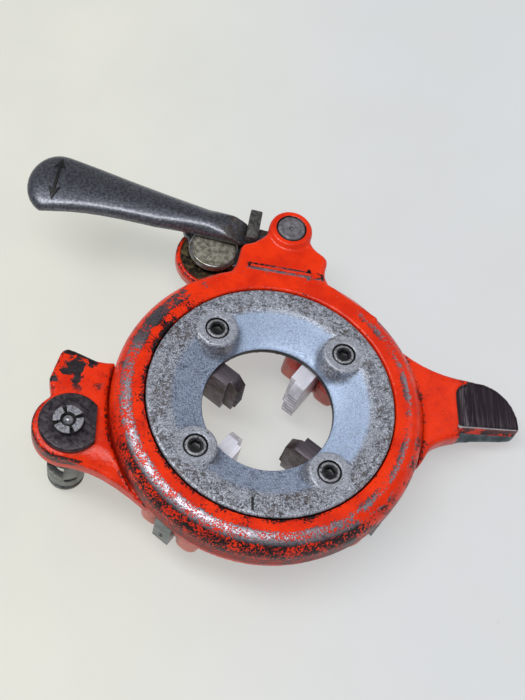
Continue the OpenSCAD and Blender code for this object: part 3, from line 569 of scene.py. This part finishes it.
def merged_copy(node):
    """A copy of a CAD node's mesh with its loose triangles joined."""
    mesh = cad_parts[node].data.copy()
    bm = bmesh.new()
    bm.from_mesh(mesh)
    bmesh.ops.remove_doubles(bm, verts=bm.verts, dist=2e-6)
    bm.to_mesh(mesh)
    bm.free()
    return mesh


def give_material(mesh, mat):
    mesh.materials.clear()
    mesh.materials.append(mat)


def drawn_mesh(name, bm):
    """A new mesh from a finished bmesh."""
    mesh = bpy.data.meshes.new(name)
    bm.to_mesh(mesh)
    bm.free()
    return mesh


def evaluated_mesh(obj):
    bpy.context.view_layer.update()
    return bpy.data.meshes.new_from_object(obj.evaluated_get(bpy.context.evaluated_depsgraph_get()))


def apply_modifiers(obj, mat):
    """Works the object's modifiers into its mesh."""
    mesh = evaluated_mesh(obj)
    obj.modifiers.clear()
    old = obj.data
    obj.data = mesh
    bpy.data.meshes.remove(old)
    give_material(mesh, mat)
    return mesh


def shade(mesh, sharp_from):
    """Smooth shading, with edges sharp from this angle in degrees."""
    mesh.shade_smooth()
    mesh.set_sharp_from_angle(angle=math.radians(sharp_from))


def new_object(name, mesh, body, mat):
    obj = bpy.data.objects.new(name, mesh)
    bpy.context.scene.collection.objects.link(obj)
    give_material(mesh, mat)
    if body:
        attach(obj, body)
    return obj


def read_points(mesh, name="co"):
    values = np.empty(len(mesh.vertices) * 3)
    mesh.vertices.foreach_get(name, values)
    return values.reshape(-1, 3)


def write_points(mesh, points):
    mesh.vertices.foreach_set("co", points.ravel())
    mesh.update()


def rise(value, low, high):
    """Straight rise from 0 to 1 while the value goes from low to high."""
    return np.clip((value - low) / (high - low), 0.0, 1.0)


def neighbour_mean(points, ends, count):
    total = np.zeros_like(points)
    for axis in range(points.shape[1]):
        total[:, axis] = (np.bincount(ends[:, 0], points[ends[:, 1], axis], len(points))
                          + np.bincount(ends[:, 1], points[ends[:, 0], axis], len(points)))
    return total / count[:, None]


def keep_edges(mesh, voxel, rounds=8):
    """Keeps on each vertex how far it stands out from its softened surroundings, from 0 to about 1."""
    points = read_points(mesh)
    ends = np.empty(len(mesh.edges) * 2, dtype=np.int32)
    mesh.edges.foreach_get("vertices", ends)
    ends = ends.reshape(-1, 2)
    count = np.maximum(np.bincount(ends.ravel(), minlength=len(points)), 1)
    soft = points.copy()
    for _ in range(rounds):
        soft = 0.5 * soft + 0.5 * neighbour_mean(soft, ends, count)
    full_edge = 0.35 * voxel
    stands_out = ((points - soft) * read_points(mesh, "normal")).sum(axis=1) / full_edge
    attribute = mesh.attributes.new("edge", "FLOAT", "POINT")
    attribute.data.foreach_set("value", np.clip(stands_out, 0.0, 1.5).astype(np.float32))


def cast_piece(name, node, body, mat, voxel, rounds, shape=None):
    """A casting with soft edges and fillets, made from the CAD node that it stands for."""
    obj = new_object(name, merged_copy(node), body, mat)
    remesh = obj.modifiers.new("even skin", "REMESH")
    remesh.mode = "VOXEL"
    remesh.voxel_size = voxel * MM
    soften = obj.modifiers.new("soft edges", "SMOOTH")
    soften.factor = 0.5
    soften.iterations = rounds
    mesh = apply_modifiers(obj, mat)
    if shape:
        shape(mesh)
    mesh.shade_smooth()
    keep_edges(mesh, voxel * MM)
    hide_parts(node)


# Lower edge of the post lug, the cosine of its lean, and how far and deep it is rolled off
LUG_EDGE_X = (-92.0, -84.8, -74.0, -66.0, -58.0, -50.0)
LUG_EDGE_Y = (-26.5, -28.2, -29.4, -32.5, -38.5, -46.0)
LUG_EDGE_COSINE, LUG_ROLL_REACH, LUG_ROLL_DEPTH = 0.85, 8.0, 3.4


def round_lug(mesh):
    """Rolls off the lower edge of the post lug, where the casting is widely rounded."""
    points = read_points(mesh) / MM
    x, y, z = points.T
    inside = rise((y - np.interp(x, LUG_EDGE_X, LUG_EDGE_Y)) * LUG_EDGE_COSINE, 0.0, LUG_ROLL_REACH)
    where = rise(x, -86.0, -78.0) * rise(-x, 52.0, 56.0) * (y < -8.0) * rise(z, -9.0, 0.8)
    points[:, 2] -= LUG_ROLL_DEPTH * (1.0 - inside) ** 2 * where
    write_points(mesh, points * MM)


# Half width of the lever along its length from the pin, and how much it is widened and domed
LEVER_ALONG, LEVER_HALF = (0, 40, 80, 105, 125), (6.0, 6.6, 10.2, 13.2, 13.6)
LEVER_WIDENING, LEVER_DOME = 0.24, 3.3
WIDE_FROM, WIDE_FROM_BY_STUD, WIDE_RISE = 20.0, 46.0, 16.0
DOME_ALONG, DOME_LEVELS, PADDLE_END = (26.0, 38.0), (-2.2, 5.2), (111.0, 124.6)


def crown_lever(mesh):
    """Widens the arm and the paddle, but not the lobe round the stud, and domes the upper face."""
    turn = math.radians(LEVER_ANGLE)
    points = read_points(mesh) / MM
    x, y = points[:, 0] - PIN[0], points[:, 1] - PIN[1]
    along = x * math.cos(turn) + y * math.sin(turn)
    aside = y * math.cos(turn) - x * math.sin(turn)
    start = np.where(aside > 0.0, WIDE_FROM_BY_STUD, WIDE_FROM)
    wide = LEVER_WIDENING * rise(along, start, start + WIDE_RISE) * aside
    points[:, 0] -= wide * math.sin(turn)
    points[:, 1] += wide * math.cos(turn)
    end = rise(along, *PADDLE_END)
    share = np.clip(np.hypot(aside / np.interp(along, LEVER_ALONG, LEVER_HALF), end), 0.0, 1.1)
    upper = rise(points[:, 2], *DOME_LEVELS)
    points[:, 2] -= LEVER_DOME * share ** 2 * upper * rise(along, *DOME_ALONG)
    write_points(mesh, points * MM)


# Angles in degrees: faces that count as flat, edges that are broken, and edges that are shaded sharp
FLAT_WITHIN, BROKEN_FROM, SHARP_FROM = 0.6, 34.0, 32.0


def break_edges(obj, width):
    """Gives the sharp edges of a piece a small round bevel."""
    bevel = obj.modifiers.new("broken edges", "BEVEL")
    bevel.width = width * MM
    bevel.segments = 2
    bevel.limit_method = "ANGLE"
    bevel.angle_limit = math.radians(BROKEN_FROM)


def crisp_piece(name, node, body, mat, edge, placing=None):
    """A machined piece with small broken edges, made from the CAD node that it stands for."""
    mesh = merged_copy(node)
    if placing is not None:
        mesh.transform(placing)
    bm = bmesh.new()
    bm.from_mesh(mesh)
    bmesh.ops.dissolve_limit(bm, angle_limit=math.radians(FLAT_WITHIN), verts=bm.verts, edges=bm.edges)
    bm.to_mesh(mesh)
    bm.free()
    obj = new_object(name, mesh, body, mat)
    break_edges(obj, edge)
    shade(apply_modifiers(obj, mat), SHARP_FROM)
    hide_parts(node)


# Ring nut: its radii, its levels from the seat up, and the angles of its notches
NUT_BORE, NUT_OUTER, NUT_LIP = 4.25, 6.4, 3.3
NUT_SEAT, NUT_NOTCH_FLOOR, NUT_LIP_FOOT, NUT_TOP = 3.4, 4.6, 5.86, 6.2
NUT_NOTCH, NUT_TURN = 19.0, 20.0


def notched_nut(mat):
    """The ring nut on the post: a flat bright ring with four notches, whose lip covers the post's end."""
    base = [(NUT_BORE, NUT_SEAT), (NUT_OUTER, NUT_SEAT), (NUT_OUTER, NUT_NOTCH_FLOOR),
            (NUT_BORE, NUT_NOTCH_FLOOR)]
    sunk = NUT_NOTCH_FLOOR - 0.1
    quarter = [(NUT_BORE, sunk), (NUT_OUTER, sunk), (NUT_OUTER, NUT_TOP), (NUT_LIP, NUT_TOP),
               (NUT_LIP, NUT_LIP_FOOT), (NUT_BORE, NUT_LIP_FOOT)]
    stretches = [(base, 0, 360)]
    stretches += [(quarter, NUT_TURN + 90 * k + NUT_NOTCH / 2, 90 - NUT_NOTCH) for k in range(4)]
    bm = bmesh.new()
    for profile, start, sweep in stretches:
        turn = Matrix.Rotation(math.radians(start), 3, "Z")
        loop = [bm.verts.new(turn @ Vector((r, 0, z))) for r, z in profile]
        edges = [bm.edges.new(pair) for pair in zip(loop, loop[1:] + loop[:1])]
        whole = sweep == 360
        ring = bmesh.ops.spin(bm, geom=loop + edges, axis=(0, 0, 1), cent=(0, 0, 0),
                              angle=math.radians(sweep), steps=48 if whole else 14, use_merge=whole)
        if not whole:
            bm.faces.new(loop)
            bm.faces.new([v for v in ring["geom_last"] if isinstance(v, bmesh.types.BMVert)])
    bmesh.ops.recalc_face_normals(bm, faces=bm.faces)
    bm.transform(Matrix.Translation((POST[0] * MM, POST[1] * MM, 0)) @ Matrix.Scale(MM, 4))
    mesh = drawn_mesh("notched_ring_nut", bm)
    obj = new_object("notched_ring_nut", mesh, "head", mat)
    break_edges(obj, 0.22)
    shade(mesh, SHARP_FROM)
    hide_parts("post_nut")


def raised_mark(name, outline, body, mat, foot, top, edge):
    """A low raised mark from an outline that runs anticlockwise, with a rounded upper edge."""
    bm = bmesh.new()
    face = bm.faces.new([bm.verts.new((x * MM, y * MM, foot * MM)) for x, y in outline])
    extruded = bmesh.ops.extrude_face_region(bm, geom=[face])
    upper = [v for v in extruded["geom"] if isinstance(v, bmesh.types.BMVert)]
    bmesh.ops.translate(bm, verts=upper, vec=(0, 0, (top - foot) * MM))
    bmesh.ops.recalc_face_normals(bm, faces=bm.faces)
    rim = [e for e in bm.edges if all(v in upper for v in e.verts)]
    bmesh.ops.bevel(bm, geom=rim, offset=edge * MM, affect="EDGES", segments=3, profile=0.5, material=-1)
    bmesh.ops.triangulate(bm, faces=bm.faces)
    longest = 2.0 * MM
    for _ in range(4):
        long_edges = [e for e in bm.edges if e.calc_length() > longest]
        bmesh.ops.subdivide_edges(bm, edges=long_edges, cuts=1)
        bmesh.ops.triangulate(bm, faces=bm.faces)
    mesh = drawn_mesh(name, bm)
    shade(mesh, sharp_from=50)
    return new_object(name, mesh, body, mat)


def digits(name, text, placing, body, mat, size, height, edge):
    """Plain numbers as a mesh, placed by a matrix."""
    curve = bpy.data.curves.new(name, "FONT")
    curve.body = text
    curve.size = size * MM
    curve.align_x = "CENTER"
    curve.align_y = "CENTER"
    curve.extrude = height / 2 * MM
    curve.bevel_depth = edge * MM
    curve.bevel_resolution = 1
    curve.resolution_u = 6
    source = bpy.data.objects.new(name + " outline", curve)
    bpy.context.scene.collection.objects.link(source)
    mesh = evaluated_mesh(source)
    bpy.data.objects.remove(source)
    bpy.data.curves.remove(curve)
    mesh.transform(placing)
    new_object(name, mesh, body, mat)


def arrow(start, end, width, head, heads):
    """Outline of an arrow between two points, with a head at the end or at both ends."""
    start, end = Vector(start), Vector(end)
    along = (end - start).normalized()
    side = Vector((-along.y, along.x))
    half, barb, neck_reach = width / 2 * side, head / 2 * side, 0.85 * head
    tail_right, tail_left = [start - half], [start + half]
    if heads == 2:
        neck, back = start + neck_reach * along, start + head * along
        tail_right = [start, back - barb, neck - half]
        tail_left = [neck + half, back + barb]
    neck, back = end - neck_reach * along, end - head * along
    points = tail_right + [neck - half, back - barb, end, back + barb, neck + half] + tail_left
    return [(p.x, p.y) for p in points]


# Materials
red_ring = ring_paint()
red_head = head_paint()
iron = plate_iron()
black = lever_black()
ground = die_steel()
stud_mat = worn_disc()
screw_mat = screw_black()
washer_mat = steel("post washer steel", srgb(84, 77, 82), srgb(34, 30, 38), rough=0.38, size=2.0, metal=0.6,
                   turn=35.0, grain=0.08)
# Painted shade: black in the nut's notches, below a level
nut_mat = steel("ring nut steel", srgb(176, 177, 184), srgb(104, 104, 112), rough=0.34, size=1.0, metal=0.4,
                shade_below=5.5)
ball_mat = steel("ball steel", srgb(158, 159, 166), srgb(110, 110, 118), rough=0.22, size=3.0, metal=0.5)
# Painted shade: black on the post's end round the ball, under the nut's lip
post_mat = steel("post steel", srgb(140, 143, 140), srgb(88, 91, 89), rough=0.4, size=4.0, metal=0.5,
                 shade_above=3.0)
pin_mat = steel("turned pin steel", srgb(148, 146, 152), srgb(98, 96, 102), rough=0.36, size=2.0, metal=0.5,
                lathe=PIN)
bar_mat = steel("stop bar steel", srgb(104, 104, 102), srgb(52, 52, 52), rough=0.48, size=1.4, metal=0.5,
                grain=0.12)
spring_mat = steel("spring steel", srgb(92, 94, 98), srgb(60, 62, 66), rough=0.3)
bush_mat = steel("bush bronze", srgb(176, 132, 74), srgb(122, 86, 46), rough=0.34)
clip_mat = steel("clip steel", srgb(110, 112, 116), srgb(60, 60, 64), rough=0.32)
arrow_mat = steel("dark lever mark", srgb(26, 26, 28), srgb(10, 10, 11), rough=0.5, size=1.2, metal=0.0)
stamp = steel("stamped mark", srgb(44, 46, 46), srgb(24, 25, 25), rough=0.5, size=1.0, metal=0.3)

# Castings
cast_piece("cam_ring_casting", "cam_ring", "cam_ring", red_ring, voxel=0.72, rounds=6)
cast_piece("head_body_casting", "head_casting", "head", red_head, voxel=0.85, rounds=6,
           shape=round_lug)
cast_piece("cover_plate_casting", "cover_plate", "head", iron, voxel=0.52, rounds=4)
cast_piece("lever_casting", "throw_out_lever", "lever", black, voxel=0.48, rounds=10,
           shape=crown_lever)

# Machined pieces, with the post's washer a little wider than its solid
for k in range(1, 5):
    crisp_piece(f"ground_die_{k}", f"die_{k}", f"die_{k}", ground, edge=0.16)
crisp_piece("socket_screws", "cover_screws", "head", screw_mat, edge=0.3)
crisp_piece("stud_with_flat_head", "cam_stud", "head", stud_mat, edge=0.4)
crisp_piece("lever_pivot_pin", "lever_pin", "cam_ring", pin_mat, edge=0.2)
crisp_piece("square_stop_bar", "lever_stop_bar", "lever", bar_mat, edge=0.5)
WASHER_WIDER, WASHER_SHIFT = 1.07, (1.0, 0.3)
to_axis = Matrix.Translation((-POST[0] * MM, -POST[1] * MM, 0))
wider = Matrix.Diagonal((WASHER_WIDER, WASHER_WIDER, 1, 1))
back_again = Matrix.Translation(((POST[0] + WASHER_SHIFT[0]) * MM, (POST[1] + WASHER_SHIFT[1]) * MM, 0))
crisp_piece("flatted_post_washer", "post_washer", "head", washer_mat, edge=0.5,
            placing=back_again @ wider @ to_axis)
notched_nut(nut_mat)
crisp_piece("hollow_carriage_post", "carriage_post", "head", post_mat, edge=0.3)
for node, mat in (("post_ball", ball_mat), ("post_spring", spring_mat), ("lever_bush", bush_mat),
                  ("pin_clip", clip_mat), ("stud_washer", clip_mat), ("cover_dowels", clip_mat)):
    give_material(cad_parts[node].data, mat)

# Raised arrows on the ring's lug and on the lever
lug_outline = arrow(ARROW_START, ARROW_END, ARROW_WIDTH, ARROW_HEAD, heads=1)
raised_mark("turning_arrow", lug_outline, "cam_ring", red_ring, foot=12.8, top=13.75, edge=0.3)
lever_outline = arrow(LEVER_ARROW_START, LEVER_ARROW_END, LEVER_ARROW_WIDTH, LEVER_ARROW_HEAD, heads=2)
lever_arrow = raised_mark("lever_arrow", lever_outline, "lever", arrow_mat, foot=4.5, top=6.0,
                          edge=0.25)
crown_lever(lever_arrow.data)

# Plain size number on the rim of the plate, and numbers on the outer ends of the dies
digits("plate_number", "1", Matrix.Translation(Vector(PLATE_NUMBER) * MM), "head", stamp,
       size=8.0, height=0.5, edge=0.12)
for k in range(4):
    angle = math.radians(DIE_ANGLE + 90 * k)
    outward = Vector((math.cos(angle), math.sin(angle), 0))
    across = Vector((-outward.y, outward.x, 0))
    upright = Vector((0, 0, 1))
    axes = Matrix((across, upright, outward)).transposed().to_4x4()
    spot = DIE_OUTER_END * outward - DIE_OFFSET * across + DIE_NUMBER_Z * upright
    digits(f"die_number_{k + 1}", str(k + 1), Matrix.Translation(spot * MM) @ axes, f"die_{k + 1}",
           stamp, size=5.0, height=0.08, edge=0.02)

# Table under the resting head, which leans on its post: direction of its upper side, drop and half width
TABLE_UP = Vector((-0.2007, -0.0181, 0.9795)).normalized()
TABLE_DROP, TABLE_HALF = 36.635 * MM, 2.0
side = TABLE_UP.orthogonal().normalized()
across = TABLE_UP.cross(side)
foot = TABLE_UP * -TABLE_DROP
bm = bmesh.new()
corners = [foot + TABLE_HALF * (a * side + b * across) for a, b in ((-1, -1), (1, -1), (1, 1), (-1, 1))]
bm.faces.new([bm.verts.new(corner) for corner in corners])
table = new_object("table", drawn_mesh("table", bm), None, table_top())

# Camera of the photograph
cam = bpy.data.objects.new("camera", bpy.data.cameras.new("camera"))
bpy.context.scene.collection.objects.link(cam)
cam.data.lens = 59.28
cam.data.sensor_width = 36
cam.data.clip_start = 0.01
cam.matrix_world = Matrix(((0.986271, -0.078808, -0.145110, -0.07696),
                           (-0.000406, 0.877608, -0.479380, -0.21738),
                           (0.165128, 0.472858, 0.865528, 0.44720),
                           (0, 0, 0, 1)))
bpy.context.scene.camera = cam


def lamp(name, toward, distance, length, width, turn, power):
    """A soft lamp that shines on the head from a direction, with its length turned from the x axis."""
    data = bpy.data.lights.new(name, "AREA")
    data.shape = "RECTANGLE"
    data.size = length
    data.size_y = width
    data.energy = power
    obj = bpy.data.objects.new(name, data)
    back = Vector(toward).normalized()
    along = Vector((math.cos(math.radians(turn)), -math.sin(math.radians(turn)), 0))
    along = (along - along.dot(back) * back).normalized()
    axes = Matrix((along, back.cross(along), back)).transposed().to_4x4()
    obj.matrix_world = Matrix.Translation(back * distance) @ axes
    bpy.context.scene.collection.objects.link(obj)


lamp("ceiling light", (-0.30, -0.06, 0.95), distance=1.3, length=1.25, width=0.36, turn=29, power=13.0)
lamp("side light", (0.55, 0.35, 0.75), distance=1.4, length=0.5, width=0.5, turn=0, power=1.0)

# Room: even pale light on the surfaces, darker overhead than at the walls where it mirrors in them
ROOM_LIGHT, WALL_MIRRORED, OVERHEAD_MIRRORED = 0.50, 0.36, 0.08
world = bpy.data.worlds.new("room")
bpy.context.scene.world = world
world.use_nodes = True
world.node_tree.nodes.clear()
net = Net(world.node_tree)
toward = net.add("ShaderNodeTexCoord").outputs["Generated"]
height = net.add("ShaderNodeSeparateXYZ", {0: toward}).outputs[2]
mirrored = net.step(height, 0.05, 0.75, WALL_MIRRORED, OVERHEAD_MIRRORED)
strength = net.blend(net.add("ShaderNodeLightPath").outputs["Is Glossy Ray"], ROOM_LIGHT, mirrored)
room = net.add("ShaderNodeBackground", {"Color": srgb(244, 246, 250), "Strength": strength})
net.add("ShaderNodeOutputWorld", {"Surface": room.outputs[0]})

bpy.context.scene.view_settings.view_transform = "Standard"
